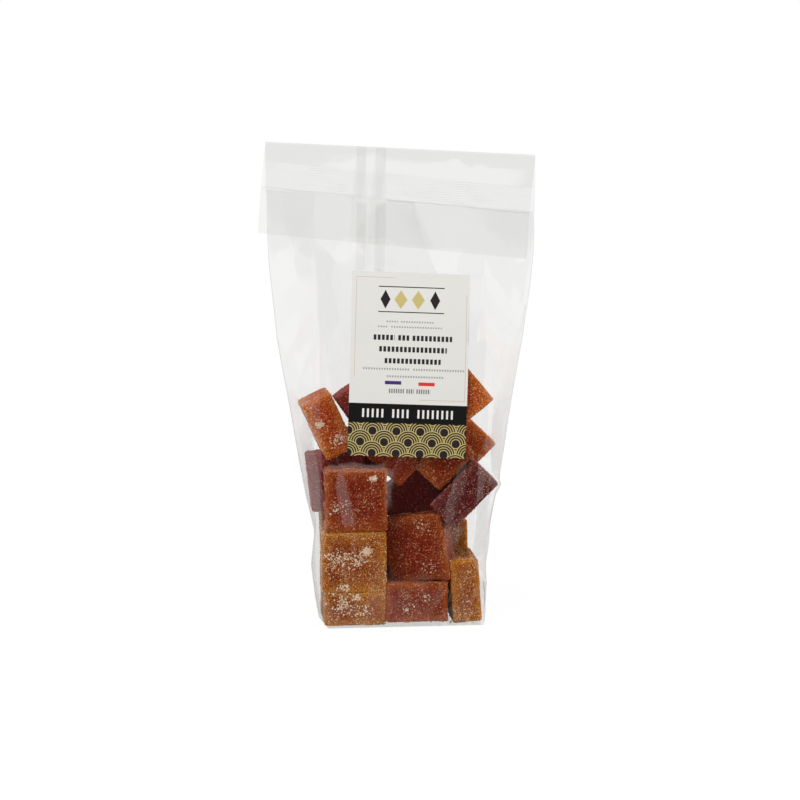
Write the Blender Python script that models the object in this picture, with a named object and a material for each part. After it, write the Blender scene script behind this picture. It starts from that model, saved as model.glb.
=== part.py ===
"""A clear block-bottom bag of fruit jelly squares, closed at the top and carrying a paper label.

The bag is one solid of the film's outer shape, and the label is a thin solid on its front panel.
Metres, +Z up. The origin is the middle of the flat base, and the label faces -Y.
"""

import math

import bmesh
import bpy
from mathutils import Vector
from mathutils.bvhtree import BVHTree

MM = 0.001

# The film tube: a front and a back panel with a gusset between them on each side
PANEL_HALF = 39.0 * MM
GUSSET_HALF = 23.8 * MM
FILM_LENGTH = 263.5 * MM

# Reach of the left and right side creases from the middle, at heights above the base
SIDE_REACH = (
    (0.0, 39.0, 39.0),
    (7.0, 40.1, 40.2),
    (11.0, 40.7, 39.6),
    (18.5, 41.6, 37.0),
    (26.0, 42.5, 38.2),
    (33.5, 41.6, 40.1),
    (41.0, 40.8, 41.5),
    (48.5, 42.4, 42.9),
    (56.0, 44.3, 44.6),
    (71.0, 47.2, 47.5),
    (101.0, 52.4, 51.9),
    (131.0, 57.9, 57.0),
    (161.0, 61.4, 61.0),
    (176.0, 62.1, 62.3),
    (187.0, 62.2, 62.5),
    (195.0, 62.2, 62.2),
    (201.0, 62.2, 62.2),
    (207.0, 62.2, 62.9),
    (219.0, 62.2, 63.2),
)

# The closed top: its level tilts to the right, and the fold above it a little less
CLOSE_HEIGHT = 195.0 * MM
CLOSE_SLOPE = -0.086
FOLD_HEIGHT = 219.0 * MM
FOLD_SLOPE = -0.0525
HEADER_HALF = 0.7 * MM
CREASE_HALF = 0.35 * MM
CORNER_INSET = 2.5 * MM

# The flap folded over to the front, pressed in by the heat seal and free below it
FLAP_REACH = 62.3 * MM
SEAL_FROM_MOUTH = 20.6 * MM
SEAL_WIDTH = 11.5 * MM
SEAL_PRESS = 0.35 * MM
FLAP_THICKNESS = 0.9 * MM
FLAP_ROOT = 0.3 * MM
FLAP_LEAN = 0.42
FLAP_GAP = 0.6 * MM

# The lap seam down the middle of the back, where the film's two edges meet
LAP_CENTRE = -15.3 * MM
LAP_WIDTH = 14.0 * MM
LAP_PROUD = 0.35 * MM

# The sweets push the panels out, and the soft foot lifts toward its corners
FILL_HEIGHT = 95.0 * MM
FRONT_BULGE = 2.0 * MM
BACK_BULGE = 1.6 * MM
FOOT_INSET = 2.2 * MM
FOOT_HEIGHT = 2.4 * MM
FOOT_CORNER_LIFT = 1.0 * MM

# The label, stuck a little askew on the front panel
LABEL_WIDTH = 54.3 * MM
LABEL_HEIGHT = 83.3 * MM
LABEL_THICKNESS = 0.25 * MM
LABEL_GAP = 0.35 * MM
LABEL_CENTRE = (1.9 * MM, 121.0 * MM)
LABEL_TURN = math.radians(2.6)

SIDE_STEPS = 7
PANEL_STEPS = 22
BODY_LEVELS = 36
HEADER_LEVELS = 3
FLAP_ACROSS = 28
FLAP_ROWS = (4, 2, 6)
LAP_STEPS = (4, 40)
LABEL_STEPS = (12, 18)


def smooth(t):
    """A smooth rise from 0 at t = 0 to 1 at t = 1."""
    t = min(max(t, 0.0), 1.0)
    return t * t * (3.0 - 2.0 * t)


def side_reach(height):
    """Left and right reach of the side creases at a height, read along SIDE_REACH."""
    for low, high in zip(SIDE_REACH, SIDE_REACH[1:]):
        if height <= high[0] * MM:
            share = (height / MM - low[0]) / (high[0] - low[0])
            return [(low[i] + (high[i] - low[i]) * share) * MM for i in (1, 2)]
    return [SIDE_REACH[-1][1] * MM, SIDE_REACH[-1][2] * MM]


def panel_depth(height):
    """Half the bag's depth at a height: the wider the creases spread, the flatter the gussets' film."""
    spread = sum(side_reach(height)) / 2.0 - PANEL_HALF
    deep = math.sqrt(max(GUSSET_HALF**2 - max(spread, 0.0) ** 2, 0.0))
    closing = smooth((CLOSE_HEIGHT - height) / (30.0 * MM)) ** 0.5
    return max(deep * closing, HEADER_HALF)


def fill_bulge(x, height, most):
    """How far the sweets push a panel out at a place on it."""
    across = max(0.0, 1.0 - (x / PANEL_HALF) ** 2)
    rise = smooth(height / (12.0 * MM))
    return most * across * rise * smooth((FILL_HEIGHT - height) / (45.0 * MM))


def level_slope(height):
    """The tilt of a level: none low down, that of the closure at its height, then that of the fold."""
    if height <= CLOSE_HEIGHT:
        return CLOSE_SLOPE * smooth((height - 110.0 * MM) / (CLOSE_HEIGHT - 110.0 * MM))
    share = (height - CLOSE_HEIGHT) / (FOLD_HEIGHT - CLOSE_HEIGHT)
    return CLOSE_SLOPE + (FOLD_SLOPE - CLOSE_SLOPE) * share


def ring(height, inset=0.0):
    """The film's outline at a level, anticlockwise from above: left crease, front, right crease, back."""
    left, right = side_reach(height)
    deep = panel_depth(height)
    panel_left = min(PANEL_HALF, left - CORNER_INSET)
    panel_right = min(PANEL_HALF, right - CORNER_INSET)
    corners = (
        (-left, -CREASE_HALF, SIDE_STEPS),
        (-panel_left, -deep, PANEL_STEPS),
        (panel_right, -deep, SIDE_STEPS),
        (right, -CREASE_HALF, 1),
        (right, CREASE_HALF, SIDE_STEPS),
        (panel_right, deep, PANEL_STEPS),
        (-panel_left, deep, SIDE_STEPS),
        (-left, CREASE_HALF, 1),
    )
    points = []
    for (x0, y0, steps), (x1, y1, _) in zip(corners, corners[1:] + corners[:1]):
        for i in range(steps):
            points.append(Vector((x0 + (x1 - x0) * i / steps, y0 + (y1 - y0) * i / steps)))
    count = len(points)
    for _ in range(3):
        around = [(points[i - 1] + points[(i + 1) % count]) / 2 for i in range(count)]
        for i, here in enumerate(points):
            if abs(here.y) > 1.01 * CREASE_HALF:
                points[i] = here.lerp(around[i], 0.6)
    slope = level_slope(height)
    placed = []
    for point in points:
        most = FRONT_BULGE if point.y < 0 else -BACK_BULGE
        side = Vector((point.x, point.y - fill_bulge(point.x, height, most)))
        side *= 1.0 - inset / side.length
        placed.append(Vector((side.x, side.y, height + slope * side.x)))
    return placed


def foot_ring():
    """The outline of the flat base, a little inside the lowest full ring."""
    points = ring(FOOT_HEIGHT, inset=FOOT_INSET)
    for point in points:
        point.z = 0.0
    return points


def lifted_corners(points):
    """The lowest full ring, higher at the four corners than along the sides."""
    for point in points:
        out = min(abs(point.x) / PANEL_HALF, 1.0) * min(abs(point.y) / GUSSET_HALF, 1.0)
        point.z += FOOT_CORNER_LIFT * out**3
    return points


def levels():
    """Heights of the rings from the lowest full one to the top fold."""
    body = CLOSE_HEIGHT - FOOT_HEIGHT
    heights = [FOOT_HEIGHT + body * i / BODY_LEVELS for i in range(BODY_LEVELS + 1)]
    header = FOLD_HEIGHT - CLOSE_HEIGHT
    return heights + [CLOSE_HEIGHT + header * (i + 1) / HEADER_LEVELS for i in range(HEADER_LEVELS)]


def new_object(name, bm, material):
    mesh = bpy.data.meshes.new(name)
    bm.to_mesh(mesh)
    bm.free()
    mesh.materials.append(material)
    obj = bpy.data.objects.new(name, mesh)
    bpy.context.scene.collection.objects.link(obj)
    return obj


def plain_material(name, colour, roughness):
    material = bpy.data.materials.new(name)
    material.use_nodes = True
    shader = material.node_tree.nodes["Principled BSDF"]
    shader.inputs["Base Color"].default_value = (*colour, 1.0)
    shader.inputs["Roughness"].default_value = roughness
    shader.inputs["Metallic"].default_value = 0.0
    return material


def bag_body(material):
    """The standing bag: rings from the flat base to the top fold, skinned and capped."""
    heights = levels()
    rings = [foot_ring(), lifted_corners(ring(heights[0]))]
    rings += [ring(height) for height in heights[1:]]
    bm = bmesh.new()
    rows = [[bm.verts.new(point) for point in points] for points in rings]
    count = len(rows[0])
    for low, high in zip(rows, rows[1:]):
        for i in range(count):
            j = (i + 1) % count
            bm.faces.new((low[i], low[j], high[j], high[i]))
    bm.faces.new(reversed(rows[0]))
    bm.faces.new(rows[-1])
    return new_object("bag", bm, material)


def surface_finder(obj):
    """A function that gives the y of the object's surface met at (x, z) by a line along +Y or -Y."""
    bm = bmesh.new()
    bm.from_mesh(obj.data)
    tree = BVHTree.FromBMesh(bm)
    bm.free()

    def surface(x, z, way=1.0):
        hit = tree.ray_cast(Vector((x, -0.2 * way, z)), Vector((0.0, way, 0.0)))[0]
        return hit.y if hit else -HEADER_HALF * way

    return surface


def folded(x, length):
    """Where a point of the laid-flat film lands in the front view once the top is folded down."""
    along = Vector((1.0, FOLD_SLOPE)).normalized()
    across = Vector((-along.y, along.x))
    point = Vector((x, length - FOLD_HEIGHT))
    return point - 2.0 * point.dot(across) * across + Vector((0.0, FOLD_HEIGHT))


def flap_lengths(x):
    """Lengths along the film of the flap's rows at a place across it, and how far each is pressed in."""
    start = FOLD_HEIGHT + FOLD_SLOPE * x + 0.5 * MM
    seal_end = FILM_LENGTH - SEAL_FROM_MOUTH
    breaks = (start, seal_end - SEAL_WIDTH, seal_end, FILM_LENGTH)
    rows = []
    for part, steps in enumerate(FLAP_ROWS):
        press = SEAL_PRESS if part == 1 else 0.0
        for i in range(steps):
            share = i / steps
            rows.append((breaks[part] + (breaks[part + 1] - breaks[part]) * share, press))
    rows.append((FILM_LENGTH, 0.0))
    return rows


def sheet_solid(name, inner, outer, material):
    """A thin solid between two equal grids of points."""
    bm = bmesh.new()
    layers = [[[bm.verts.new(point) for point in row] for row in grid] for grid in (inner, outer)]
    down, across = len(inner) - 1, len(inner[0]) - 1
    for j in range(down):
        for i in range(across):
            for rows in layers:
                bm.faces.new((rows[j][i], rows[j][i + 1], rows[j + 1][i + 1], rows[j + 1][i]))
    rim = [(0, i) for i in range(across)] + [(j, across) for j in range(down)]
    rim += [(down, i) for i in range(across, 0, -1)] + [(j, 0) for j in range(down, 0, -1)]
    low, high = layers
    for (j0, i0), (j1, i1) in zip(rim, rim[1:] + rim[:1]):
        bm.faces.new((low[j0][i0], low[j1][i1], high[j1][i1], high[j0][i0]))
    bmesh.ops.recalc_face_normals(bm, faces=bm.faces[:])
    return new_object(name, bm, material)


def top_flap(surface, material):
    """The end of the film, folded down over the front: fused as far as the seal, and free below it."""
    seal_end = FILM_LENGTH - SEAL_FROM_MOUTH
    columns = []
    for i in range(FLAP_ACROSS + 1):
        x = FLAP_REACH * (2.0 * i / FLAP_ACROSS - 1.0)
        column = []
        for length, press in flap_lengths(x):
            place = folded(x, length)
            free = max(0.0, length - seal_end)
            within = max(-0.96 * FLAP_REACH, min(0.96 * FLAP_REACH, place.x))
            body = surface(within, place.y) - FLAP_GAP * smooth(free / (4.0 * MM))
            hanging = -HEADER_HALF - FLAP_LEAN * free
            y = min(body, hanging) if free > 0 else -HEADER_HALF
            column.append((place.x, y + FLAP_ROOT * smooth(1.0 - free / (3.0 * MM)), place.y, press))
        columns.append(column)
    rows = list(zip(*columns))
    inner = [[Vector((x, y, z)) for x, y, z, _ in row] for row in rows]
    outer = [[Vector((x, y - FLAP_THICKNESS + press, z)) for x, y, z, press in row] for row in rows]
    return sheet_solid("flap", inner, outer, material)


def back_seam(surface, material):
    """The raised strip where the tube's two edges overlap, from just over the foot to under the fold."""
    across, up = LAP_STEPS
    inner, outer = [], []
    for j in range(up + 1):
        z = 3.5 * MM + (FOLD_HEIGHT - 4.5 * MM) * j / up
        xs = [LAP_CENTRE + LAP_WIDTH * (i / across - 0.5) for i in range(across + 1)]
        inner.append([Vector((x, surface(x, z, way=-1.0) - 0.4 * MM, z)) for x in xs])
        outer.append([Vector((x, surface(x, z, way=-1.0) + LAP_PROUD, z)) for x in xs])
    return sheet_solid("seam", inner, outer, material)


def fuse(obj, others):
    """Joins the others into obj, and removes them."""
    for other in others:
        joined = obj.modifiers.new("Join " + other.name, "BOOLEAN")
        joined.operation = "UNION"
        joined.solver = "EXACT"
        joined.object = other
    graph = bpy.context.evaluated_depsgraph_get()
    mesh = bpy.data.meshes.new_from_object(obj.evaluated_get(graph))
    obj.modifiers.clear()
    obj.data = mesh
    for other in others:
        bpy.data.objects.remove(other)


def paper_label(surface, material):
    """The paper label: a sheet that follows the front panel a hair in front of it."""
    across, up = LABEL_STEPS
    turn_cos, turn_sin = math.cos(LABEL_TURN), math.sin(LABEL_TURN)
    inner, outer = [], []
    for j in range(up + 1):
        places = []
        for i in range(across + 1):
            u = LABEL_WIDTH * (i / across - 0.5)
            v = LABEL_HEIGHT * (j / up - 0.5)
            x = LABEL_CENTRE[0] + u * turn_cos + v * turn_sin
            z = LABEL_CENTRE[1] - u * turn_sin + v * turn_cos
            places.append((x, surface(x, z) - LABEL_GAP, z))
        inner.append([Vector(place) for place in places])
        outer.append([Vector((x, y - LABEL_THICKNESS, z)) for x, y, z in places])
    return sheet_solid("label", inner, outer, material)


def shade(obj, angle):
    obj.data.shade_smooth()
    obj.data.set_sharp_from_angle(angle=angle)


def main():
    for obj in list(bpy.data.objects):
        bpy.data.objects.remove(obj)
    film = plain_material("clear_film", (0.86, 0.50, 0.34), 0.15)
    paper = plain_material("label_paper", (0.85, 0.84, 0.80), 0.5)
    bag = bag_body(film)
    surface = surface_finder(bag)
    fuse(bag, [top_flap(surface, film), back_seam(surface, film)])
    label = paper_label(surface, paper)
    shade(bag, math.radians(32.0))
    shade(label, math.radians(32.0))


main()
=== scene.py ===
import math

import bmesh
import bpy
import numpy as np
from mathutils import Matrix, Vector, noise
from mathutils.bvhtree import BVHTree


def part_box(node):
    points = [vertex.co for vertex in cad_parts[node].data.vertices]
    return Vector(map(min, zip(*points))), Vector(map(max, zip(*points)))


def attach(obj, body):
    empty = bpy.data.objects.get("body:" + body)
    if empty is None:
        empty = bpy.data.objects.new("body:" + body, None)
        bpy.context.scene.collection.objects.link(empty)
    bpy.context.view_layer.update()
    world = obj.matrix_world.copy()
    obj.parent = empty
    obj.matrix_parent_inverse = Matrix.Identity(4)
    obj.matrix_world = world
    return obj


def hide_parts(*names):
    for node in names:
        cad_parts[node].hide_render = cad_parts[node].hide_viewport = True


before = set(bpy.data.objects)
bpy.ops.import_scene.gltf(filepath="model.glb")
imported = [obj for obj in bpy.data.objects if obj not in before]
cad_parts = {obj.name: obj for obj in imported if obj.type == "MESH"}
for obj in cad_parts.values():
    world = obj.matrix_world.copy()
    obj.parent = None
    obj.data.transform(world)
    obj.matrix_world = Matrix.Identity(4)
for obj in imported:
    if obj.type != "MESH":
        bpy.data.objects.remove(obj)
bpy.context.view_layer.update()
millimetre = 0.001


# small helpers

def smoothStep(t):
    t = np.clip(t, 0.0, 1.0)
    return t * t * (3.0 - 2.0 * t)


def addNode(tree, kind, inputs=None, **settings):
    node = tree.nodes.new(kind)
    for name, value in settings.items():
        setattr(node, name, value)
    for name, value in (inputs or {}).items():
        if isinstance(value, bpy.types.NodeSocket):
            tree.links.new(value, node.inputs[name])
        else:
            node.inputs[name].default_value = value
    return node


def maths(tree, operation, first, second=0.0, third=0.0):
    inputs = {0: first, 1: second, 2: third}
    return addNode(tree, "ShaderNodeMath", inputs, operation=operation).outputs[0]


def mixColours(tree, share, first, second, blend="MIX"):
    node = addNode(tree, "ShaderNodeMix", data_type="RGBA", blend_type=blend)
    for socket, value in ((node.inputs[0], share), (node.inputs[6], first), (node.inputs[7], second)):
        if isinstance(value, bpy.types.NodeSocket):
            tree.links.new(value, socket)
        else:
            socket.default_value = value
    return node.outputs[2]


def mapRange(tree, value, low, high, lowest=0.0, highest=1.0):
    inputs = {"Value": value, "From Min": low, "From Max": high, "To Min": lowest, "To Max": highest}
    return addNode(tree, "ShaderNodeMapRange", inputs).outputs[0]


def newMaterial(name):
    material = bpy.data.materials.new(name)
    material.use_nodes = True
    tree = material.node_tree
    tree.nodes.clear()
    output = tree.nodes.new("ShaderNodeOutputMaterial")
    return material, tree, output


def newPiece(name, bm, material):
    mesh = bpy.data.meshes.new(name)
    bm.to_mesh(mesh)
    bm.free()
    mesh.shade_smooth()
    return placeMesh(name, mesh, material)


def placeMesh(name, mesh, material):
    mesh.materials.append(material)
    piece = bpy.data.objects.new(name, mesh)
    bpy.context.scene.collection.objects.link(piece)
    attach(piece, "root")
    return piece


# camera, studio and floor

viewSettings = {
    "azimuth": -6.0,
    "elevation": 8.0,
    "distance": 1.2,
    "aimAt": (-0.0005, 0.0, 0.1026),
    "pixelsPerMetre": 2153.0,
}


def makeCamera(settings):
    azimuth = math.radians(settings["azimuth"])
    elevation = math.radians(settings["elevation"])
    back = Vector((math.sin(azimuth) * math.cos(elevation),
                   -math.cos(azimuth) * math.cos(elevation),
                   math.sin(elevation)))
    camera = bpy.data.cameras.new("camera")
    camera.sensor_width = 36.0
    camera.lens = settings["pixelsPerMetre"] * settings["distance"] * camera.sensor_width / 800.0
    camera.clip_start = 0.01
    holder = bpy.data.objects.new("camera", camera)
    holder.location = Vector(settings["aimAt"]) + back * settings["distance"]
    holder.rotation_euler = back.to_track_quat("Z", "Y").to_euler()
    bpy.context.scene.collection.objects.link(holder)
    bpy.context.scene.camera = holder


studioSettings = {
    # name: (place, size, watts)
    "keyBox": ((-0.55, -0.75, 1.05), (0.6, 0.6), 9.0),
    "sideBox": ((1.0, -0.35, 0.5), (0.3, 0.7), 4.0),
    "backBox": ((0.1, 0.9, 0.8), (0.9, 0.3), 4.0),
    "worldForLight": 0.55,
    "worldColour": (1.0, 0.99, 0.97),
    "glossDark": 0.01,
    # angle, middle, half and soft edge in degrees, brightness beyond
    "tentWalls": (("sideways", -6.0, 19.0, 12.0, 0.62), ("upward", -4.0, 27.0, 9.0, 0.60)),
}


def makeStudio(settings):
    for name in ("keyBox", "sideBox", "backBox"):
        place, size, watts = settings[name]
        lamp = bpy.data.lights.new(name, "AREA")
        lamp.shape = "RECTANGLE"
        lamp.size, lamp.size_y = size
        lamp.energy = watts
        holder = bpy.data.objects.new(name, lamp)
        holder.location = place
        aim = Vector(place) - Vector((0.0, 0.0, 0.09))
        holder.rotation_euler = aim.to_track_quat("Z", "Y").to_euler()
        holder.visible_glossy = False  # the film mirrors the tent below, not the lamps
        bpy.context.scene.collection.objects.link(holder)
    world = bpy.data.worlds.new("studio")
    bpy.context.scene.world = world
    world.use_nodes = True
    tree = world.node_tree
    tree.nodes.clear()
    path = addNode(tree, "ShaderNodeLightPath")
    # the tent is bright all round but for a dark opening on the camera's side
    toward = addNode(tree, "ShaderNodeTexCoord").outputs["Generated"]
    axes = addNode(tree, "ShaderNodeSeparateXYZ", {0: toward})
    sideways = maths(tree, "ARCTAN2", axes.outputs["X"], maths(tree, "MULTIPLY", axes.outputs["Y"], -1.0))
    upward = maths(tree, "ARCSINE", axes.outputs["Z"])
    walls = []
    for angle, middle, half, soft, strength in settings["tentWalls"]:
        angle = {"sideways": sideways, "upward": upward}[angle]
        off = maths(tree, "ABSOLUTE", maths(tree, "SUBTRACT", angle, math.radians(middle)))
        wall = addNode(tree, "ShaderNodeMapRange", {
            "Value": off, "From Min": math.radians(half), "From Max": math.radians(half + soft),
            "To Max": strength}, interpolation_type="SMOOTHSTEP")
        walls.append(wall.outputs[0])
    opening = maths(tree, "MAXIMUM", maths(tree, "MAXIMUM", walls[0], walls[1]), settings["glossDark"])
    glossy = path.outputs["Is Glossy Ray"]
    level = addNode(tree, "ShaderNodeMix", {0: glossy}, data_type="FLOAT")
    level.inputs[2].default_value = settings["worldForLight"]
    tree.links.new(opening, level.inputs[3])
    soft = addNode(tree, "ShaderNodeBackground", {
        "Color": (*settings["worldColour"], 1.0), "Strength": level.outputs[0]})
    plain = addNode(tree, "ShaderNodeBackground", {"Color": (1.0, 1.0, 1.0, 1.0), "Strength": 1.0})
    seen = addNode(tree, "ShaderNodeMixShader", {0: path.outputs["Is Camera Ray"]})
    tree.links.new(soft.outputs[0], seen.inputs[1])
    tree.links.new(plain.outputs[0], seen.inputs[2])
    output = addNode(tree, "ShaderNodeOutputWorld")
    tree.links.new(seen.outputs[0], output.inputs["Surface"])


floorSettings = {
    "radius": 0.7, "drop": 0.0002, "paint": 0.05, "glow": 0.952,
    # what the film mirrors: a pale card that turns dark between two places in front, and its shares there
    "card": (0.75, 0.74, 0.72), "darkAt": -0.14, "brightAt": -0.05, "shares": (0.02, 0.5),
}


def makeFloor(settings):
    bm = bmesh.new()
    bmesh.ops.create_circle(bm, cap_ends=True, segments=64, radius=settings["radius"])
    bmesh.ops.translate(bm, verts=bm.verts, vec=(0.0, 0.0, -settings["drop"]))
    mesh = bpy.data.meshes.new("studioFloor")
    bm.to_mesh(mesh)
    bm.free()
    material, tree, output = newMaterial("paleFloor")
    path = addNode(tree, "ShaderNodeLightPath")
    paint = addNode(tree, "ShaderNodeBsdfDiffuse", {"Color": (*[settings["paint"]] * 3, 1.0)})
    glow = addNode(tree, "ShaderNodeEmission", {"Color": (1.0, 1.0, 1.0, 1.0), "Strength": settings["glow"]})
    both = addNode(tree, "ShaderNodeAddShader")
    tree.links.new(paint.outputs[0], both.inputs[0])
    tree.links.new(glow.outputs[0], both.inputs[1])
    coords = addNode(tree, "ShaderNodeTexCoord").outputs["Object"]
    inFront = addNode(tree, "ShaderNodeSeparateXYZ", {0: coords}).outputs["Y"]
    nearby = mapRange(tree, inFront, settings["darkAt"], settings["brightAt"], *settings["shares"])
    shown = maths(tree, "MAXIMUM", nearby, maths(tree, "SUBTRACT", 1.0, path.outputs["Is Glossy Ray"]))
    cardColour = mixColours(tree, shown, (0.0, 0.0, 0.0, 1.0), (*settings["card"], 1.0))
    card = addNode(tree, "ShaderNodeBsdfDiffuse", {"Color": cardColour})
    mixed = addNode(tree, "ShaderNodeMixShader", {0: path.outputs["Is Camera Ray"]})
    tree.links.new(card.outputs[0], mixed.inputs[1])
    tree.links.new(both.outputs[0], mixed.inputs[2])
    tree.links.new(mixed.outputs[0], output.inputs["Surface"])
    mesh.materials.append(material)
    floor = bpy.data.objects.new("studioFloor", mesh)
    bpy.context.scene.collection.objects.link(floor)


makeCamera(viewSettings)
makeStudio(studioSettings)
makeFloor(floorSettings)
bpy.context.scene.view_settings.view_transform = "Standard"
print("camera, studio and floor made")


# the bag's measured shape, in millimetres

bagShape = {
    "panelHalf": 39.0,
    "gussetHalf": 23.8,
    "cornerInset": 2.5,
    "closeHeight": 195.0,
    "closeSlope": -0.086,
    "slopeFrom": 110.0,
    "closingSpan": 30.0,
    "thinnest": 0.25,
    "foldHeight": 219.0,
    "foldSlope": -0.0525,
    "filmLength": 263.5,
    "sealFromMouth": 20.6,
    "sealWidth": 11.5,
    "flapReach": 62.2,
    "flapLean": 0.42,
    "frontBulge": 1.6,
    "backBulge": 1.3,
    "fillHeight": 95.0,
    "fillFade": 45.0,
    "footRise": 12.0,
}
# height, then reach of the left and right side creases
sideReach = np.array([
    (0.0, 38.6, 38.6), (7.0, 40.0, 40.1), (11.0, 40.6, 39.5), (18.5, 41.5, 36.9), (26.0, 42.4, 38.1),
    (33.5, 41.5, 40.0), (41.0, 40.7, 41.4), (48.5, 42.3, 42.8), (56.0, 44.2, 44.5), (71.0, 47.1, 47.4),
    (101.0, 52.3, 51.8), (131.0, 57.8, 56.9), (161.0, 61.3, 60.9), (176.0, 62.0, 62.2),
    (187.0, 62.1, 62.4), (195.0, 62.1, 62.1), (201.0, 62.1, 62.1), (207.0, 62.1, 62.8), (219.0, 62.1, 63.1),
])


def creaseReach(height):
    heights, left, right = sideReach.T
    return np.interp(height, heights, left), np.interp(height, heights, right)


def halfDepth(height):
    left, right = creaseReach(height)
    spread = np.clip((left + right) / 2.0 - bagShape["panelHalf"], 0.0, None)
    deep = np.sqrt(np.clip(bagShape["gussetHalf"] ** 2 - spread ** 2, 0.0, None))
    closing = np.sqrt(smoothStep((bagShape["closeHeight"] - height) / bagShape["closingSpan"]))
    return np.maximum(deep * closing, bagShape["thinnest"])


def levelSlope(height):
    # how much a level line of the film tips, below and above where the panels close
    start, close, slope = bagShape["slopeFrom"], bagShape["closeHeight"], bagShape["closeSlope"]
    low = slope * smoothStep((height - start) / (close - start))
    share = np.clip((height - close) / (bagShape["foldHeight"] - close), 0.0, 1.0)
    high = slope + (bagShape["foldSlope"] - slope) * share
    return np.where(height <= close, low, high)


def tubePoints(around, height):
    # around runs 0 to 1 from the middle of the back, over the right side to the front and the left side
    panel, gusset = bagShape["panelHalf"], bagShape["gussetHalf"]
    length = around * 4.0 * (panel + gusset)
    left, right = creaseReach(height)
    deep = halfDepth(height)
    panelLeft = np.minimum(panel, left - bagShape["cornerInset"])
    panelRight = np.minimum(panel, right - bagShape["cornerInset"])
    marks = np.array([0.0, panel, panel + gusset, panel + 2 * gusset, 3 * panel + 2 * gusset,
                      3 * panel + 3 * gusset, 3 * panel + 4 * gusset, 4 * panel + 4 * gusset])
    zero = np.zeros_like(deep)
    xs = np.stack([zero, panelRight, right, panelRight, -panelLeft, -left, -panelLeft, zero])
    ys = np.stack([deep, deep, zero, -deep, -deep, zero, deep, deep])
    stretch = np.clip(np.searchsorted(marks, length, side="right") - 1, 0, 6)
    share = (length - marks[stretch]) / (marks[stretch + 1] - marks[stretch])
    column = np.arange(len(length))
    x = xs[stretch, column] * (1 - share) + xs[stretch + 1, column] * share
    y = ys[stretch, column] * (1 - share) + ys[stretch + 1, column] * share
    across = np.clip(1.0 - (x / panel) ** 2, 0.0, None)
    fill = smoothStep((bagShape["fillHeight"] - height) / bagShape["fillFade"])
    fill = smoothStep(height / bagShape["footRise"]) * fill
    y = y - np.where(y < 0, bagShape["frontBulge"], -bagShape["backBulge"]) * across * fill
    return np.stack([x, y, height + levelSlope(height) * x], axis=1)


# the fruit jelly squares

# name: centre, (width, thickness, height), turns in order, flavour, how freely it gives way
jellySquares = {
    "squareFrontTop": ((-22.9, -16.5, 59.5), (28.0, 15.0, 28.6), (("X", -1.5),), "clementine", 0.0),
    "squareFrontMiddle": ((-24.0, -16.5, 31.0), (29.6, 15.0, 28.2), (), "apricot", 0.0),
    "squareFrontFoot": ((-23.5, -9.4, 9.3), (28.2, 15.8, 28.6), (("X", 90.0),), "apricot", 0.0),
    "squareFootMiddle": ((5.0, -9.4, 10.4), (28.8, 18.2, 29.0), (("X", 85.0),), "clementine", 0.0),
    "squareTurned": ((7.2, -9.8, 35.5), (29.0, 12.8, 30.0), (("Y", -9.0), ("Z", -23.0)), "clementine", 0.0),
    "squareDarkRight": ((28.5, -9.8, 59.6), (29.0, 15.6, 26.0),
                        (("X", -90.0), ("Y", -46.0), ("X", -8.0), ("Z", -8.0)), "strawberry", 0.0),
    "squareDarkBehind": ((8.3, 9.8, 55.3), (32.2, 13.0, 26.0), (("Y", -38.0),), "strawberryDeep", 0.0),
    "squareEdgeOn": ((19.0, -9.4, 76.2), (24.0, 15.5, 15.0), (("X", -90.0), ("Y", -46.0)), "clementine", 0.0),
    "squareUnderLabel": ((-5.4, -6.2, 78.0), (25.0, 15.5, 13.0), (("X", -90.0), ("Y", 44.0)),
                         "orangeDeep", 0.0),
    "squareRightUpper": ((26.2, -5.0, 109.6), (29.0, 15.5, 21.0), (("X", -90.0), ("Y", 51.0), ("X", -7.0)),
                         "orange", 0.0),
    "squareRightLower": ((24.4, 8.4, 80.6), (29.0, 14.5, 29.0), (("Y", -46.0),), "orange", 0.0),
    "squareLeaning": ((-35.0, -1.6, 92.2), (14.4, 22.0, 28.2), (("Y", -24.5), ("Z", 3.0)), "orange", 0.0),
    "squareDarkLeft": ((-14.0, 0.0, 104.6), (29.0, 14.0, 20.0), (("Y", -35.0),), "strawberryDeep", 0.2),
    "squareDarkFarLeft": ((-30.0, 0.6, 66.2), (26.5, 14.5, 27.0), (("Y", -6.0),), "strawberryDeep", 0.0),
    "squareRightFoot": ((28.0, -5.6, 15.6), (13.4, 28.5, 29.6), (("Y", -4.0),), "apricot", 0.0),
    "squareRightBack": ((22.6, 12.4, 37.4), (16.5, 20.0, 15.0), (("Y", 4.0),), "apricot", 0.6),
    "squareBackMiddle": ((-21.0, -1.2, 31.4), (26.0, 13.6, 28.0), (("Y", -2.0),), "orange", 0.6),
    "squareBackFoot": ((-20.8, 14.4, 15.0), (28.5, 14.4, 28.0), (("Y", 1.0),), "clementine", 0.08),
    "squareBackRight": ((9.0, 14.4, 14.6), (28.5, 15.0, 28.0), (("Y", -3.0),), "apricot", 1.0),
    "squareBackUpper": ((-21.5, 15.6, 41.8), (27.5, 13.0, 24.0), (("Y", -2.0),), "apricot", 0.06),
    "squareBackTop": ((-21.0, 15.2, 72.6), (28.5, 13.0, 28.0), (("Y", 5.0),), "clementine", 0.3),
}
# how far the foot of a square spreads to its right, as it was cut
cutSlant = {"squareTurned": 0.055}
settleSettings = {
    "rounds": 110, "cornerRadius": 1.2, "gap": -0.15, "floorGap": 0.5, "filmGive": 0.9,
    # how hard a square is pulled home, shares of its mean and its worst push, and how it turns
    "pull": 0.04, "pushShare": 0.6, "turnLever": 260.0, "mostTurn": 0.03, "turnsAt": 0.3, "reach": 48.0,
}


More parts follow.
